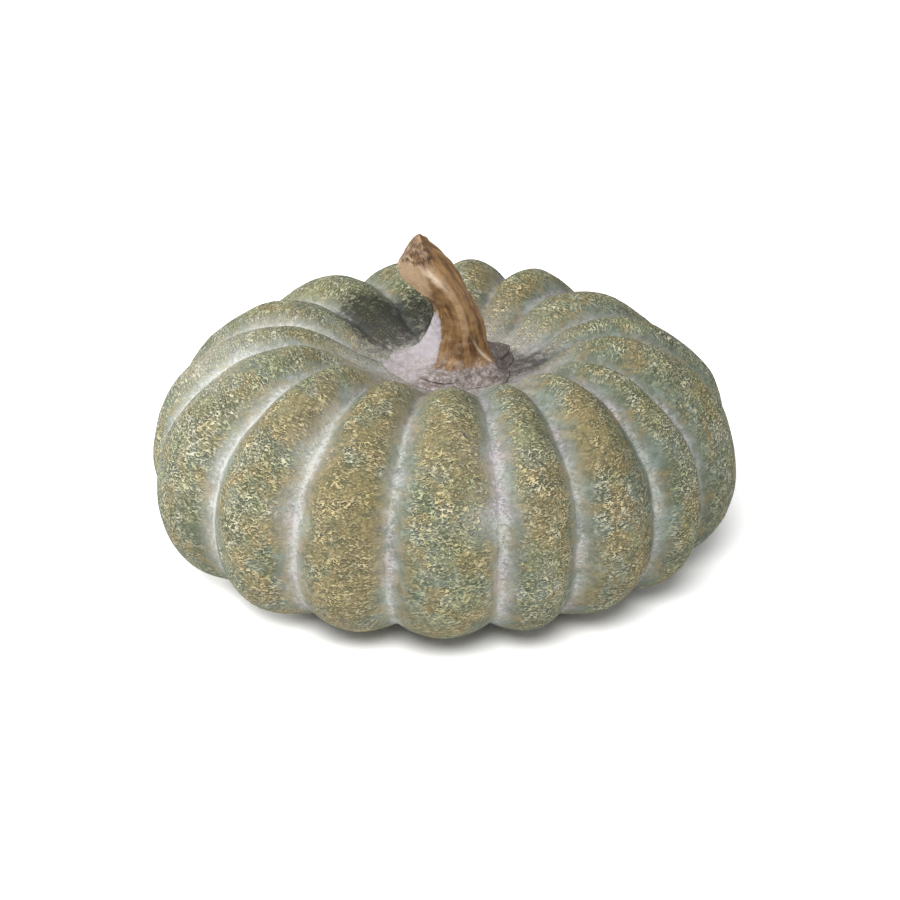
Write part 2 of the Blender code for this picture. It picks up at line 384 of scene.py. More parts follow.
def skin(name, grid, caps=False):
    """A mesh object over a grid of points whose rows are closed rings. Vertices keep the grid's order."""
    rows, columns = grid.shape[:2]
    bm = bmesh.new()
    loops = [[bm.verts.new(point) for point in ring] for ring in grid]
    for low, high in zip(loops, loops[1:]):
        for i in range(columns):
            j = (i + 1) % columns
            bm.faces.new((low[i], low[j], high[j], high[i]))
    if caps:
        bm.faces.new(loops[0])
        bm.faces.new(loops[-1])
    bmesh.ops.recalc_face_normals(bm, faces=bm.faces)
    mesh = bpy.data.meshes.new(name)
    bm.to_mesh(mesh)
    bm.free()
    mesh.shade_smooth()
    obj = bpy.data.objects.new(name, mesh)
    bpy.context.scene.collection.objects.link(obj)
    return obj


def weld(obj):
    """Joins vertices in the same place, and turns the faces outward."""
    bm = bmesh.new()
    bm.from_mesh(obj.data)
    bmesh.ops.remove_doubles(bm, verts=bm.verts, dist=1e-6)
    bmesh.ops.recalc_face_normals(bm, faces=bm.faces)
    bm.to_mesh(obj.data)
    bm.free()


def store(obj, name, values):
    """Keeps one number per vertex under that name, for the shaders."""
    attribute = obj.data.attributes.new(name, "FLOAT", "POINT")
    attribute.data.foreach_set("value", np.asarray(values, np.float32).ravel())


def store_vectors(obj, name, values):
    """Keeps one vector per vertex under that name, for the shaders."""
    attribute = obj.data.attributes.new(name, "FLOAT_VECTOR", "POINT")
    attribute.data.foreach_set("vector", np.asarray(values, np.float32).ravel())


def lumps(points, size, seed):
    """Smooth random values from about -1 to 1 at points, in lumps about size across."""
    offset = Vector((seed, 2.3 * seed, 0.7 * seed))
    flat = points.reshape(-1, 3)
    values = [noise.noise(Vector(point) / size + offset) for point in flat]
    return np.array(values).reshape(points.shape[:-1])


def layered_lumps(grid, kinds):
    """How far each point stands out on lumps of several kinds, given as size, height and seed."""
    return sum(height * lumps(grid, size, seed) for size, height, seed in kinds)


def outward_normals(grid):
    """Unit normals of a grid of closed rings, pointing away from the middle ring's centre."""
    around = np.roll(grid, -1, axis=1) - np.roll(grid, 1, axis=1)
    along = np.gradient(grid, axis=0)
    normals = np.cross(around, along)
    normals /= np.maximum(np.linalg.norm(normals, axis=2, keepdims=True), 1e-12)
    middle = len(grid) // 2
    outward = np.sum(normals[middle] * (grid[middle] - grid[middle].mean(axis=0)))
    return normals * np.sign(outward)


# ---- Shader helpers ------------------------------------------------------------------------------


class Paint:
    """A material's node tree, with short calls for the nodes that the paints use."""

    def __init__(self, name):
        self.material = bpy.data.materials.new(name)
        self.material.use_nodes = True
        self.tree = self.material.node_tree
        self.shader = self.tree.nodes["Principled BSDF"]
        self.position = self.tree.nodes.new("ShaderNodeTexCoord").outputs["Object"]

    def put(self, value, socket):
        """Links an output into a socket, or sets the socket to a number or a screen colour."""
        if isinstance(value, bpy.types.NodeSocket):
            self.tree.links.new(value, socket)
        elif isinstance(value, tuple) and socket.type == "RGBA":
            socket.default_value = linear(value)
        else:
            socket.default_value = value

    def maths(self, operation, first, second=0.0):
        """The result of an arithmetic node."""
        node = self.tree.nodes.new("ShaderNodeMath")
        node.operation = operation
        self.put(first, node.inputs[0])
        self.put(second, node.inputs[1])
        return node.outputs[0]

    def add(self, first, second):
        return self.maths("ADD", first, second)

    def times(self, first, second):
        return self.maths("MULTIPLY", first, second)

    def invert(self, value):
        return self.maths("SUBTRACT", 1.0, value)

    def ramp(self, value, low, high):
        """A smooth step from 0 at low to 1 at high."""
        node = self.tree.nodes.new("ShaderNodeMapRange")
        node.interpolation_type = "SMOOTHSTEP"
        self.put(value, node.inputs["Value"])
        node.inputs["From Min"].default_value = min(low, high)
        node.inputs["From Max"].default_value = max(low, high)
        return node.outputs["Result"] if low < high else self.invert(node.outputs["Result"])

    def mix(self, share, first, second):
        """Colour first where share is 0, and second where it is 1."""
        node = self.tree.nodes.new("ShaderNodeMix")
        node.data_type = "RGBA"
        self.put(share, node.inputs["Factor"])
        self.put(first, node.inputs["A"])
        self.put(second, node.inputs["B"])
        return node.outputs["Result"]

    def attribute(self, name, output="Fac"):
        """Values that the mesh keeps under that name."""
        node = self.tree.nodes.new("ShaderNodeAttribute")
        node.attribute_name = name
        return node.outputs[output]

    def shifted(self, vector, offset):
        """A position, moved by offset."""
        node = self.tree.nodes.new("ShaderNodeVectorMath")
        node.operation = "ADD"
        self.put(vector, node.inputs[0])
        node.inputs[1].default_value = offset
        return node.outputs[0]

    def cloud(self, size_mm, detail=2.0, roughness=0.5, distortion=0.0, seed=0.0, at=None):
        """Noise from 0 to 1 whose patches are about size_mm across."""
        place = self.shifted(at or self.position, (seed, 1.7 * seed, -0.6 * seed))
        node = self.tree.nodes.new("ShaderNodeTexNoise")
        self.put(place, node.inputs["Vector"])
        node.inputs["Scale"].default_value = (1.0 if at else 1000.0) / size_mm
        node.inputs["Detail"].default_value = detail
        node.inputs["Roughness"].default_value = roughness
        node.inputs["Distortion"].default_value = distortion
        return node.outputs["Fac"]

    def height(self):
        """Height over the floor in millimetres."""
        node = self.tree.nodes.new("ShaderNodeSeparateXYZ")
        self.put(self.position, node.inputs[0])
        return self.times(node.outputs["Z"], 1000.0)

    def bump(self, value, depth_mm, under=None):
        """A normal from value as a height, on top of the normal under."""
        node = self.tree.nodes.new("ShaderNodeBump")
        self.put(value, node.inputs["Height"])
        node.inputs["Strength"].default_value = 1.0
        node.inputs["Distance"].default_value = depth_mm / 1000
        if under:
            self.put(under, node.inputs["Normal"])
        return node.outputs["Normal"]

    def finish(self, colour, roughness, normal=None, shine=0.2):
        """The material, with its shader filled in."""
        self.shader.inputs["Specular IOR Level"].default_value = shine
        self.put(colour, self.shader.inputs["Base Color"])
        self.put(roughness, self.shader.inputs["Roughness"])
        if normal:
            self.put(normal, self.shader.inputs["Normal"])
        return self.material


# ---- Body ----------------------------------------------------------------------------------------


def body_columns():
    """For each azimuth step: angle in radians, rise from groove to crest, share of the lobe's width
    from one groove to the next, lobe width in radians, height factor, and the four paint shares."""
    middles, angle = [], -LOBES[0][0] / 2
    for lobe in LOBES:
        middles.append(angle + lobe[0] / 2)
        angle += lobe[0]
    blended = np.array([lobe[2:] for lobe in LOBES]).T
    columns, start = [], -LOBES[0][0] / 2
    for width, bulge, *_ in LOBES:
        for step in range(STEPS_ACROSS_LOBE):
            across = (1 - math.cos(math.pi * step / STEPS_ACROSS_LOBE)) / 2
            across = 0.5 * across + 0.5 * step / STEPS_ACROSS_LOBE
            azimuth = start + across * width
            arch = max(math.sin(math.pi * across), 0.0) ** LOBE_ROUNDNESS
            soft = math.hypot(arch, CREASE_SOFTNESS) - CREASE_SOFTNESS
            soft /= math.hypot(1, CREASE_SOFTNESS) - CREASE_SOFTNESS
            shares = [np.interp(azimuth, middles, values, period=360) for values in blended]
            columns.append((math.radians(azimuth), bulge * soft, across, math.radians(width), *shares))
        start += width
    return np.array(columns)


def body_rows():
    """Crest radii and heights down the profile, the way into each groove, and which rows are on top."""
    line = even_spline(PROFILE, STEPS_ALONG_PROFILE)
    crest, depth = line[:, :2], line[:, 2]
    upper = np.arange(len(crest)) < 0.5 * len(crest)
    floor = np.where(upper, SEAT_HEIGHT, 0.0)
    crest[:, 1] = np.where(crest[:, 0] < FLAT_WITHIN, np.maximum(crest[:, 1], floor), crest[:, 1])
    along = np.gradient(crest, axis=0)
    inward = np.stack([along[:, 1], -along[:, 0]], axis=1)
    inward /= np.linalg.norm(inward, axis=1, keepdims=True)
    return crest, inward * np.maximum(depth, 0.0)[:, None], upper


def body_grid(rows, columns):
    """The outer surface's points round the body's own axis, and their nominal radii."""
    crest, groove_way, upper = rows
    azimuth, rise, height = columns[:, 0], columns[:, 1], columns[:, 4]
    radius = crest[:, :1] + groove_way[:, :1] * (1 - rise)
    z = crest[:, 1:] + groove_way[:, 1:] * (1 - rise)
    spread = np.clip((radius - ROUND_WITHIN) / (1 - ROUND_WITHIN), 0.0, 1.0)
    shape = -FRONT_FLATNESS * np.cos(azimuth)
    shape = shape - OVALNESS * np.cos(2 * azimuth) - OVAL_SKEW * np.sin(2 * azimuth)
    radius = radius * (1 + spread * shape)
    on_top = upper[:, None]
    x = radius * np.sin(azimuth) + np.where(on_top, CROWN_OFFSET[0] * (1 - spread), 0.0)
    y = -radius * np.cos(azimuth) + np.where(on_top, CROWN_OFFSET[1] * (1 - spread), 0.0)
    taller = np.maximum(z - WIDEST_HEIGHT, 0.0) * (height - 1)
    z = z + np.where(on_top & (spread > 0), taller, 0.0)
    return np.stack([x, y, z], axis=2) * UNIT + [0, 0, FOOT_LIFT], radius


def hand_worked(grid):
    """The grid with the shallow unevenness of a modelled surface, none of it on the foot or seat."""
    amount = layered_lumps(grid, BODY_LUMPS)
    amount *= smoothstep(np.linalg.norm(grid[:, :, :2], axis=2), *EVEN_SEAT)
    below = np.arange(len(grid))[:, None] > len(grid) / 2
    amount *= np.where(below, smoothstep(grid[:, :, 2], *EVEN_FOOT), 1)
    return grid + outward_normals(grid) * amount[:, :, None]


def wash_distance(after_groove, before_groove):
    """Millimetres from the middle of the wash, which lies a little past each groove, scaled so that
    it fades more slowly on the lobe after the groove."""
    after, before = WASH_FADES
    after_middle = after * np.abs(after_groove - WASH_OFFSET_MM)
    before_middle = after * WASH_OFFSET_MM + before * before_groove
    return np.minimum(after_middle, before_middle)


def slate_sides(across):
    """How much slate shows on the sides of a lobe. There is more on the side after the groove."""
    return 0.75 * (1 - smoothstep(across, 0.12, 0.42)) + 0.35 * smoothstep(across, 0.75, 0.90)


def paint_share(kind, columns, radius, along_mm):
    """How strong one kind of paint is at each point of the body."""
    share = np.zeros(radius.shape)
    if kind in LOBE_PAINTS:
        share += columns[:, LOBE_PAINTS[kind]]
    if kind == "slate":
        share += slate_sides(columns[:, 2])
    for azimuth, down, size, strength in PAINT_PATCHES.get(kind, ()):
        turn = np.radians(angle_between(np.degrees(columns[:, 0]), azimuth))
        around = turn * radius * UNIT * 1000
        along = along_mm - down * STEPS_ALONG_PROFILE * PROFILE_STEP_MM
        share += strength * np.exp(-(around**2 + along**2) / size**2)
    return share


def patches(paint, cloud, share, softness=0.05):
    """Soft-edged patches of a cloud that cover more of the surface as share goes from 0 to 1."""
    raised = paint.add(cloud, paint.times(paint.add(share, -0.5), 0.34))
    return paint.ramp(raised, 0.5 - softness, 0.5 + softness)


def ground_colour(paint, slate, dark, brown):
    """The under-paint: slate and olive, with moss and brown patches and darker clumps."""
    colour = paint.mix(patches(paint, paint.cloud(24, 3, 0.5, 0.3, seed=4), slate, 0.10), OLIVE, SLATE)
    moss = patches(paint, paint.cloud(12, 3, 0.6, 0.4, seed=9), dark, 0.10)
    colour = paint.mix(paint.times(moss, 0.8), colour, MOSS)
    colour = paint.mix(paint.times(brown, 0.7), colour, RUST)
    clumps = paint.ramp(paint.cloud(3.2, 4, 0.65, 0.6, seed=18), 0.46, 0.58)
    return paint.mix(paint.times(clumps, 0.65), colour, MOSS)


def dab_colour(paint, cream, lime, brown):
    """The dry-brushed paint on the raised grain: cream, lime, and ochre over the brown patches."""
    colour = paint.mix(patches(paint, paint.cloud(5, 3, 0.6, seed=15), cream, 0.10), KHAKI, CREAM)
    green = patches(paint, paint.cloud(12, 3, 0.6, 0.4, seed=21), lime, 0.10)
    colour = paint.mix(paint.times(green, 0.75), colour, LIME)
    return paint.mix(paint.times(brown, 0.65), colour, OCHRE)


def brushed_grain(paint, below_mm=0.0):
    """The raised grain that the dry brush catches: worm-like lines here, short dabs there."""
    brush = paint.shifted(paint.attribute("brush_mm", "Vector"), (0.0, -below_mm, 0.0))
    line = paint.maths("ABSOLUTE", paint.add(paint.cloud(1.4, 1, 0.5, 0.6, seed=1, at=brush), -0.5))
    worm = paint.ramp(line, 0.11, 0.01)
    dab = paint.ramp(paint.cloud(0.85, 3, 0.6, 0.5, seed=5, at=brush), 0.40, 0.66)
    choice = paint.ramp(paint.cloud(7, 2, 0.5, 0.5, seed=7), 0.46, 0.58)
    return paint.add(paint.times(worm, choice), paint.times(dab, paint.invert(choice)))


def groove_wash(paint, ragged, crown, pale, milk, grain):
    """How thickly the pale wash lies between the raised grain, and its colour."""
    uneven = paint.ramp(paint.cloud(9, 3, 0.6, 0.4, seed=52), 0.36, 0.62)
    haze = paint.times(paint.ramp(ragged, 9.0, 1.0), paint.add(paint.times(pale, 0.60), 0.02))
    band = paint.times(paint.ramp(ragged, 4.6, 0.2), paint.add(paint.times(pale, 0.30), 0.28))
    band = paint.add(band, paint.times(paint.ramp(ragged, 1.8, 0.0), 0.25))
    milky = paint.add(haze, paint.times(band, paint.add(paint.times(uneven, 0.5), 0.65)))
    milky = paint.add(milky, milk)
    milky = paint.times(milky, paint.add(paint.times(paint.ramp(crown, 45.0, 80.0), 0.5), 0.5))
    reach = paint.add(crown, paint.times(paint.cloud(12, 4, 0.6, seed=33), 14.0))
    milky = paint.maths("MAXIMUM", milky, paint.times(paint.ramp(reach, 66.0, 40.0), 0.55))
    broken = paint.ramp(paint.cloud(1.6, 4, 0.65, 0.5, seed=58), 0.62, 0.40)
    milky = paint.times(milky, paint.add(paint.times(broken, 0.40), 0.75))
    milky = paint.times(milky, paint.add(paint.times(grain, -0.60), 1.0))
    lilac = paint.add(paint.ramp(crown, 70.0, 40.0), 0.4)
    wash = paint.mix(patches(paint, paint.cloud(14, 3, 0.5, seed=35), lilac, 0.1), WASH, LILAC)
    return paint.maths("MINIMUM", milky, 0.85), paint.mix(paint.ramp(pale, 0.35, 0.75), wash, LIMEWASH)


def dab_cover(paint, crest, slate, cream):
    """How thickly the dabs lie: most on the crests, worn off in patches, and little over slate."""
    worn = patches(paint, paint.cloud(8, 4, 0.65, 0.5, seed=12), paint.add(cream, 0.62), 0.12)
    cover = paint.times(paint.add(paint.times(worn, 0.75), 0.26), paint.add(paint.times(slate, -0.8), 1.1))
    return paint.maths("MINIMUM", paint.times(crest, cover), 0.97)


def dry_brushed(paint, ground, dab, grain, cover):
    """Dabs over the ground where the grain stands up, with painted shade in the low spots between it and
    painted shadows under its edges.
    """
    colour = paint.mix(paint.times(grain, cover), ground, dab)
    # Painted shadow under the grain's lower edges, and painted shade in the low spots between it.
    under = paint.add(brushed_grain(paint, 0.35), paint.times(grain, -1.0))
    under = paint.times(paint.maths("MAXIMUM", under, 0.0), 0.8)
    painted_pit_shade = paint.ramp(paint.cloud(1.1, 3, 0.6, 0.5, seed=27), 0.44, 0.32)
    painted_hollow_shade = paint.maths("MINIMUM", paint.add(under, paint.times(painted_pit_shade, 0.75)), 0.9)
    return paint.mix(paint.times(painted_hollow_shade, cover), colour, SHADE_AND_SPECK)


def shaded(paint, colour, shade):
    """Broken soft black over the colour: painted shade by the stem, and partly dark grime on the crown."""
    black = patches(paint, paint.cloud(3, 4, 0.65, 0.5, seed=44), paint.add(shade, 0.2), 0.16)
    black = paint.times(black, paint.ramp(shade, 0.05, 0.5))
    return paint.mix(paint.times(black, 0.80), colour, SHADE)


def grimy(paint, colour, crown):
    """The colour with grime and dark specks over it round the stem."""
    reach = paint.add(crown, paint.times(paint.cloud(3, 4, 0.65, 0.6, seed=40), 40.0))
    specks = paint.ramp(paint.cloud(1.8, 4, 0.65, 0.6, seed=48), 0.56, 0.40)
    grime = paint.mix(0.6, paint.mix(specks, GRIME, SHADE_AND_SPECK), GRIME)
    return paint.mix(paint.times(paint.ramp(reach, 62.0, 38.0), 0.65), colour, grime)


def painted_ceramic():
    """Grey-green paint, dry-brushed with cream, lime and ochre, and a pale wash in the grooves."""
    paint = Paint("painted_ceramic")
    groove = paint.attribute("groove_mm")
    crown = paint.attribute("crown_mm")
    ochre, lime, dark, pale, slate, cream, shade, milk = (paint.attribute(kind) for kind in PAINT_KINDS)

    grain = brushed_grain(paint)
    fine = paint.cloud(0.6, 3, 0.6, 0.4, seed=2)
    brown = patches(paint, paint.cloud(11, 3, 0.6, 0.5, seed=13), ochre, 0.10)
    ground = ground_colour(paint, paint.add(slate, 0.35), dark, brown)
    dab = dab_colour(paint, paint.add(cream, 0.35), lime, brown)

    ragged = paint.add(groove, paint.times(paint.add(paint.cloud(4, 4, 0.6, seed=31), -0.5), 4.5))
    ragged = paint.times(ragged, paint.add(paint.times(pale, -0.55), 1.42))
    crest = paint.times(paint.ramp(ragged, 2.0, 8.0), 0.7)
    crest = paint.add(crest, paint.times(paint.ramp(groove, 0.5, 2.5), 0.3))
    cover = dab_cover(paint, crest, slate, cream)
    colour = dry_brushed(paint, ground, dab, grain, cover)

    milky, wash = groove_wash(paint, ragged, crown, pale, milk, grain)
    # Painted shade: soft black in the recesses by the stem, partly dark grime on the crown's right.
    colour = shaded(paint, paint.mix(milky, colour, wash), shade)
    colour = grimy(paint, colour, crown)
    bare = paint.ramp(paint.add(paint.height(), paint.times(fine, 1.5)), 4.0, 3.2)
    colour = paint.mix(bare, colour, CLAY)

    normal = paint.bump(paint.times(grain, paint.add(cover, paint.times(crest, 0.1))), 0.42)
    normal = paint.bump(fine, 0.15, normal)
    return paint.finish(colour, paint.add(paint.times(grain, -0.12), 0.78), normal)


def bare_ceramic():
    """Unpainted fired clay, inside the body and round its holes."""
    paint = Paint("bare_ceramic")
    colour = paint.mix(paint.ramp(paint.cloud(14, 3, 0.6), 0.35, 0.65), CLAY, KHAKI)
    return paint.finish(colour, 0.9, paint.bump(paint.cloud(1.5, 3, 0.6), 0.08))


def store_body_paint(body, columns, grid, radius):
    """Keeps on the body's vertices the places and shares that painted_ceramic reads."""
    across = columns[:, 2]
    lobe_mm = columns[:, 3] * radius * UNIT * LOBE_ARC_MM
    wash_mm = np.maximum(lobe_mm, NARROWEST_WASHED_MM)
    store(body, "groove_mm", wash_distance(across * wash_mm, (1 - across) * wash_mm))
    along_mm = np.arange(len(grid))[:, None] * PROFILE_STEP_MM
    shift_mm = np.repeat(np.arange(len(LOBES)), STEPS_ACROSS_LOBE)[None, :] * LOBE_SHIFT_MM
    brush = np.broadcast_arrays((across - 0.5) * lobe_mm * DAB_WIDENING, along_mm, shift_mm)
    store_vectors(body, "brush_mm", np.stack(brush, axis=2))
    centre = np.array(CROWN_WASH_CENTRE) * UNIT
    store(body, "crown_mm", np.linalg.norm(grid[:, :, :2] - centre, axis=2) * 1000)
    for kind in PAINT_KINDS:
        store(body, kind, paint_share(kind, columns, radius, along_mm))


def add_body(axis):
    """The ribbed body, with its wall, its crown hole and its vent."""
    columns = body_columns()
    grid, radius = body_grid(body_rows(), columns)
    grid = hand_worked(grid)
    body = skin("pumpkin_body", grid + np.array(axis))
    store_body_paint(body, columns, grid, radius)
    body.data.materials.append(painted_ceramic())
    body.data.materials.append(bare_ceramic())
    wall = body.modifiers.new("wall", "SOLIDIFY")
    wall.thickness = WALL
    wall.offset = -1.0
    wall.use_rim = True
    wall.material_offset = 1
    wall.material_offset_rim = 1
    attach(body, "root")
    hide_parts("body_shell")
    return body


# ---- Stem ----------------------------------------------------------------------------------------


def root_bump(azimuth, height):
    """How far the roots stand out of the stem's section, in shares of UNIT."""
    reach = 0.0
    for root, length, climb in STEM_ROOTS:
        away = angle_between(azimuth, root)
        reach = reach + length * max(1 - height / climb, 0.0) ** 2 * np.exp(-((away / ROOT_WIDTH) ** 2))
    return reach


def stem_ring(station, twist, azimuth):
    """One section of the stem, in shares of UNIT from the centre of the foot's underside."""
    x0, z0, tilt, across, deep = station
    lean, angle = math.radians(tilt), np.radians(azimuth)
    bump = root_bump(azimuth, z0)
    flute = 1 + FLUTE_DEPTH * np.cos(FLUTES * (angle - math.radians(twist)))
    side = (across * flute + bump) * np.sin(angle)
    y = -(deep * flute + bump) * np.cos(angle)
    arch = ROOT_ARCH * (1 - smoothstep(z0, 0.5 * FLANGE, ROOT_ARCH_FADE)) * bump
    points = np.stack([x0 + side * math.cos(lean), y, z0 + side * math.sin(lean) + arch], axis=1)
    if z0 > CUT_ABOVE:
        points = points - CUT_FACING * np.maximum(points @ CUT_FACING - CUT_DISTANCE, 0.0)[:, None]
    return points


def stem_grid():
    """The stem's points from the foot's underside to the tip, and each row's height and twist."""
    stations = even_spline(STEM_STATIONS, STEPS_ALONG_STEM)
    twists = STEM_TWIST * np.linspace(0, 1, len(stations))
    rings = [stem_ring(station, twist, STEM_AZIMUTHS) for station, twist in zip(stations, twists)]
    return np.array(rings), stations[:, 1][:, None], np.radians(twists)[:, None]


def foot_colour(paint):
    """Mottled lilac-grey paint for the roots and the cement, paler on the left and darker on the right."""
    patch = paint.cloud(2.4, 4, 0.65, 0.5, seed=8)
    colour = paint.mix(paint.ramp(patch, 0.38, 0.62), GREY_BROWN, ROOT_LILAC)
    crack = paint.maths("ABSOLUTE", paint.add(paint.cloud(3.5, 3, 0.6, 0.8, seed=61), -0.5))
    colour = paint.mix(paint.times(paint.ramp(crack, 0.03, 0.0), 0.6), colour, ROOT_DARK)
    specks = paint.ramp(paint.cloud(1.5, 4, 0.65, 0.8, seed=14), 0.48, 0.62)
    colour = paint.mix(paint.times(specks, 0.5), colour, ROOT_DARK)
    pale = paint.mix(paint.ramp(paint.cloud(3, 4, 0.6, 0.4, seed=23), 0.36, 0.56), ROOT_LILAC, ROOT_PALE)
    colour = paint.mix(paint.attribute("fin"), colour, pale)
    return paint.mix(paint.times(paint.attribute("darker_right"), 0.6), colour, ROOT_DARK)


def wood_colour(paint, streak, broad):
    """Brown paint streaked along the shaft, tan on the cut, with cut marks and painted highlights: peach on
    ridges, a gleam by the tip.
    """
    wood = paint.mix(paint.ramp(broad, 0.34, 0.62), UMBER, CARAMEL)
    wood = paint.mix(paint.times(paint.ramp(streak, 0.46, 0.68), 0.6), wood, HONEY)
    # Painted highlight: peach along the ridges of the flutes.
    lit = paint.ramp(paint.add(paint.attribute("ridge"), paint.times(broad, 1.6)), 1.2, 1.9)
    wood = paint.mix(paint.times(lit, 0.25), wood, PEACH)
    wood = paint.mix(paint.times(paint.attribute("facet"), paint.ramp(broad, 0.25, 0.60)), wood, CUT_WOOD)
    gleam = paint.times(paint.attribute("gleam"), paint.ramp(streak, 0.30, 0.50))
    wood = paint.mix(gleam, wood, GLEAM)
    broken = paint.ramp(paint.cloud(2.0, 3, 0.6, 0.6, seed=11), 0.36, 0.50)
    return paint.mix(paint.times(paint.attribute("cuts"), broken), wood, CUT_MARK)


def stem_paint():
    """Brown wood-look paint over the shaft and head, and lilac-grey paint on the roots, darker on the right.
    """
    paint = Paint("stem_paint")
    grain = paint.attribute("grain", "Vector")

    streak = paint.cloud(1.3, 4, 0.62, 0.5, at=grain)
    broad = paint.cloud(4.5, 3, 0.55, 0.8, seed=5, at=grain)
    wood = wood_colour(paint, streak, broad)

    ragged = paint.add(paint.cloud(2.0, 4, 0.65, seed=17), -0.5)
    shown = paint.ramp(paint.add(paint.attribute("brown"), ragged), 0.34, 0.66)
    colour = paint.mix(shown, foot_colour(paint), wood)

    normal = paint.bump(streak, 0.25)
    normal = paint.bump(paint.cloud(1.3, 3, 0.6, 0.8, seed=3), 0.25, normal)
    return paint.finish(colour, paint.add(paint.times(shown, -0.40), 0.78), normal, 0.35)


def pale_side(left):
    """How pale the foot's paint is at these degrees to the left of the front, from 0 to 1."""
    start, end = PALE_SIDE
    return smoothstep(left, *start) * (1 - smoothstep(left, *end))


def darker_side(azimuth):
    """How much darker the foot's paint is on the right, from 0 to 1."""
    return smoothstep(1 - np.abs(angle_between(azimuth, DARKER_AZIMUTH)) / DARKER_REACH, 0.1, 0.5)


def cut_marks(height, front):
    """Wandering cuts across the front of the head, front degrees from the middle."""
    places = np.stack(np.broadcast_arrays(0.02 * front, height, 0), axis=2)
    wandering = height + 0.02 * lumps(places, 0.12, 4.4)
    cuts = sum(np.exp(-(((wandering - at + slant * front) / 0.009) ** 2)) for at, slant in CUT_MARKS)
    return np.minimum(cuts, 1) * (1 - smoothstep(np.abs(front + 10), 50, 80))


def gleams(height, front):
    """The painted highlight on the head, and the fainter painted highlight up the seam from the foot."""
    azimuth, middle = HEAD_GLEAM
    head = np.exp(-((angle_between(front, azimuth) / 7) ** 2) - ((height - middle) / 0.035) ** 2)
    start, turn = SEAM
    seam = np.exp(-(((front - start + turn * height) / 2.5) ** 2))
    return head + 0.6 * seam * smoothstep(height, 0.03, 0.05) * (1 - smoothstep(height, 0.08, 0.16))


def stem_marks(height, azimuth, twist, on_cut):
    """How strong each kind of stem paint is at each point, from 0 to 1."""
    front = angle_between(azimuth, 0)
    fin = pale_side(-front - 70 * height) * (1 - smoothstep(height, 0.20, 0.25))
    low_right = darker_side(azimuth) * (1 - smoothstep(height, 0.10, 0.15))
    return {
        "brown": smoothstep(height, -0.01, 0.08) * (1 - fin) * (1 - low_right),
        "darker_right": 0.75 * low_right,
        "fin": fin * (0.5 + 0.5 * smoothstep(height, 0.02, 0.10)),
        "facet": on_cut,
        "ridge": np.cos(FLUTES * (np.radians(azimuth) - twist)) * smoothstep(height, 0.05, 0.15),
        "cuts": cut_marks(height, front),
        "gleam": gleams(height, front),
    }


def with_tenon(values):
    """The stem's rows of values with two more for the tenon under its foot."""
    return np.concatenate([np.repeat(values[:1], 2, axis=0), values])


def tenon_rings():
    """The two rings of the tenon, in metres from the centre of the foot's underside."""
    around = np.radians(STEM_AZIMUTHS)
    circle = np.column_stack([TENON_RADIUS * np.sin(around), -TENON_RADIUS * np.cos(around)])
    heights = (-TENON_LENGTH, -TENON_SHOULDER)
    return np.array([np.column_stack([circle, np.full(len(circle), z)]) for z in heights])


def store_stem_paint(stem, height, twist, on_cut):
    """Keeps on the stem's vertices the places and shares that stem_paint reads."""
    azimuth = STEM_AZIMUTHS[None, :]
    around = np.radians(azimuth)
    along = STREAK_STEP_MM * np.arange(len(height))[:, None]
    grain = np.broadcast_arrays(GRAIN_RADIUS_MM * np.sin(around), GRAIN_RADIUS_MM * np.cos(around), along)
    store_vectors(stem, "grain", with_tenon(np.stack(grain, axis=2)))
    for name, values in stem_marks(height, azimuth, twist, on_cut).items():
        store(stem, name, with_tenon(np.broadcast_to(values, on_cut.shape)))


def add_stem(seat):
    """The stem with its roots, its cut head, and the tenon under its foot."""
    grid, height, twist = stem_grid()
    on_cut = smoothstep(grid @ CUT_FACING, CUT_DISTANCE - CUT_EDGE, CUT_DISTANCE) * (height > CUT_ABOVE)
    knobs = layered_lumps(grid, STEM_LUMPS) * smoothstep(height, 0.03, 0.10) * (1 - 0.7 * on_cut)
    points = (grid + outward_normals(grid) * knobs[:, :, None]) * UNIT
    stem = skin("pumpkin_stem", np.concatenate([tenon_rings(), points]) + np.array(seat), caps=True)
    store_stem_paint(stem, height, twist, on_cut)
    stem.data.materials.append(stem_paint())
    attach(stem, "root")
    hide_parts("stem")


# ---- Cement --------------------------------------------------------------------------------------


def cement_paint():
    """The same paint as on the roots, over rougher cement."""
    paint = Paint("cement_paint")
    normal = paint.bump(paint.cloud(1.6, 4, 0.6, 0.8, seed=9), 0.35)
    return paint.finish(foot_colour(paint), 0.8, normal)


def fillet_width(edge, way):
    """The fillet's width beside one point of the foot's edge, which lies that way from the middle."""
    root = max(math.hypot(edge[0], edge[1]) - STEM_STATIONS[0][4] * UNIT, 0.0)
    uneven = 1 + sum(share * noise.noise(way * quickness) for share, quickness in FILLET_LUMPS)
    return (FILLET_WIDTH - FILLET_LOSS * root) * uneven


def fillet_ring(crown, seat, edges, out, rise):
    """Points round the stem's foot: out is the share of the way from its edge to the fillet's rim,
    and rise the share of the way up from the crown to the top of that edge."""
    ring = []
    for edge in edges:
        way = Vector((edge[0], edge[1], 0)).normalized()
        point = Vector(seat) + Vector(edge) + way * fillet_width(edge, way) * out
        hit = crown.ray_cast(point + Vector((0, 0, 0.02)), Vector((0, 0, -1)))[0]
        low = (hit.z if hit else seat[2]) - FILLET_SINK
        ring.append((point.x, point.y, low + (seat[2] + edge[2] - low) * rise))
    return ring


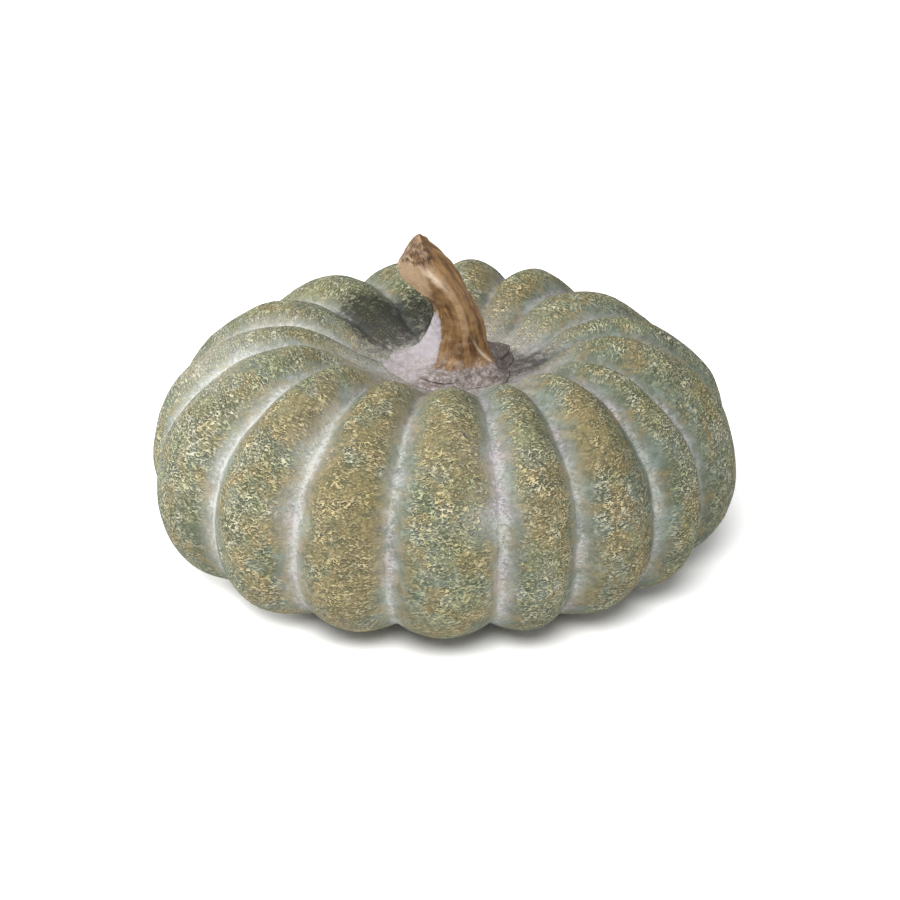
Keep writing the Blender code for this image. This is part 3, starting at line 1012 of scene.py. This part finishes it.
def add_cement(body, seat):
    """A painted fillet of cement from the crown to the top edge of the stem's foot."""
    crown = BVHTree.FromObject(body, bpy.context.evaluated_depsgraph_get())
    edges = stem_ring(STEM_STATIONS[1], 0, STEM_AZIMUTHS) * UNIT
    rings = [fillet_ring(crown, seat, edges, out, rise) for out, rise in FILLET_SECTION]
    cement = skin("stem_cement_bead", np.array(rings + rings[:1]))
    weld(cement)
    away = np.array([vertex.co - seat for vertex in cement.data.vertices])
    azimuth = np.degrees(np.arctan2(away[:, 0], -away[:, 1]))
    store(cement, "fin", 0.5 * pale_side(-azimuth))
    store(cement, "darker_right", 0.75 * darker_side(azimuth))
    smooth = cement.modifiers.new("smooth", "SUBSURF")
    smooth.levels = 1
    smooth.render_levels = 1
    cement.data.materials.append(cement_paint())
    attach(cement, "root")
    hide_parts("stem_cement")


# ---- Pads ----------------------------------------------------------------------------------------


def felt_paint():
    """Grey-brown felt with short fibres."""
    paint = Paint("felt")
    fibres = paint.cloud(0.8, 4, 0.7, 1.5)
    colour = paint.mix(paint.ramp(fibres, 0.35, 0.65), FELT, FELT_PALE)
    return paint.finish(colour, 1.0, paint.bump(fibres, 0.25))


def dress_pads(frame):
    """Felt and soft edges for the pads, which stay as the model has them."""
    felt = felt_paint()
    for name, node in frame["nodes"].items():
        if name.startswith("felt_pad"):
            node.data.materials.clear()
            node.data.materials.append(felt)
            edge = node.modifiers.new("soft_edge", "BEVEL")
            edge.width = PAD_EDGE
            edge.segments = 3


# ---- Studio --------------------------------------------------------------------------------------


def add_floor():
    """A plain pale floor."""
    bm = bmesh.new()
    bmesh.ops.create_grid(bm, x_segments=8, y_segments=8, size=FLOOR_REACH)
    mesh = bpy.data.meshes.new("floor")
    bm.to_mesh(mesh)
    bm.free()
    floor = bpy.data.objects.new("floor", mesh)
    bpy.context.scene.collection.objects.link(floor)
    paint = Paint("floor_paper")
    mesh.materials.append(paint.finish(linear(FLOOR, 1.0), 0.9))


def add_area_light(name, values, towards):
    """A soft round light with the values of its table, turned towards a point."""
    light = bpy.data.lights.new(name, "AREA")
    light.energy = values["watts"]
    light.shape = "DISK"
    light.size = values["size"]
    lamp = bpy.data.objects.new(name, light)
    lamp.location = values["at"]
    lamp.rotation_euler = (towards - lamp.location).to_track_quat("-Z", "Y").to_euler()
    bpy.context.scene.collection.objects.link(lamp)


def add_studio(centre):
    """Even white light from all round, and two soft lights that point at centre."""
    scene = bpy.context.scene
    scene.view_settings.view_transform = "Standard"
    world = bpy.data.worlds.new("studio")
    world.use_nodes = True
    world.node_tree.nodes["Background"].inputs["Color"].default_value = (1.0, 1.0, 1.0, 1.0)
    world.node_tree.nodes["Background"].inputs["Strength"].default_value = WORLD_STRENGTH
    scene.world = world
    add_area_light("key", KEY_LIGHT, centre)
    add_area_light("side", SIDE_LIGHT, centre)


def add_camera(axis):
    """A camera in front of the figure, looking down at it."""
    elevation = math.radians(CAMERA_ELEVATION)
    forward = Vector((0, math.cos(elevation), -math.sin(elevation)))
    aim = Vector((axis.x, axis.y, CAMERA_AIM_HEIGHT))
    lens = bpy.data.cameras.new("camera")
    lens.lens = CAMERA_LENS
    lens.sensor_width = 36.0
    lens.shift_x, lens.shift_y = CAMERA_SHIFT
    camera = bpy.data.objects.new("camera", lens)
    camera.location = aim - forward * CAMERA_DISTANCE
    camera.rotation_euler = forward.to_track_quat("-Z", "Y").to_euler()
    bpy.context.scene.collection.objects.link(camera)
    bpy.context.scene.camera = camera


# ---- Everything ----------------------------------------------------------------------------------


def pads_centre(frame):
    """The body's axis at floor level: the middle of the pads."""
    corners = [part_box(name) for name in frame["nodes"] if name.startswith("felt_pad")]
    middle = sum((low + high for low, high in corners), Vector()) / (2 * len(corners))
    return Vector((middle.x, middle.y, 0.0))


def main():
    """Builds everything round the model's nodes."""
    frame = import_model()
    axis = pads_centre(frame)
    crown = Vector((CROWN_OFFSET[0] * UNIT, CROWN_OFFSET[1] * UNIT, 0.0))
    seat = axis + crown + Vector((0, 0, SEAT_HEIGHT * UNIT + FOOT_LIFT + BOND))
    body = add_body(axis)
    add_stem(seat)
    add_cement(body, seat)
    dress_pads(frame)
    add_floor()
    add_studio(Vector((axis.x, axis.y, LIGHT_AIM_HEIGHT)))
    add_camera(axis)


main()
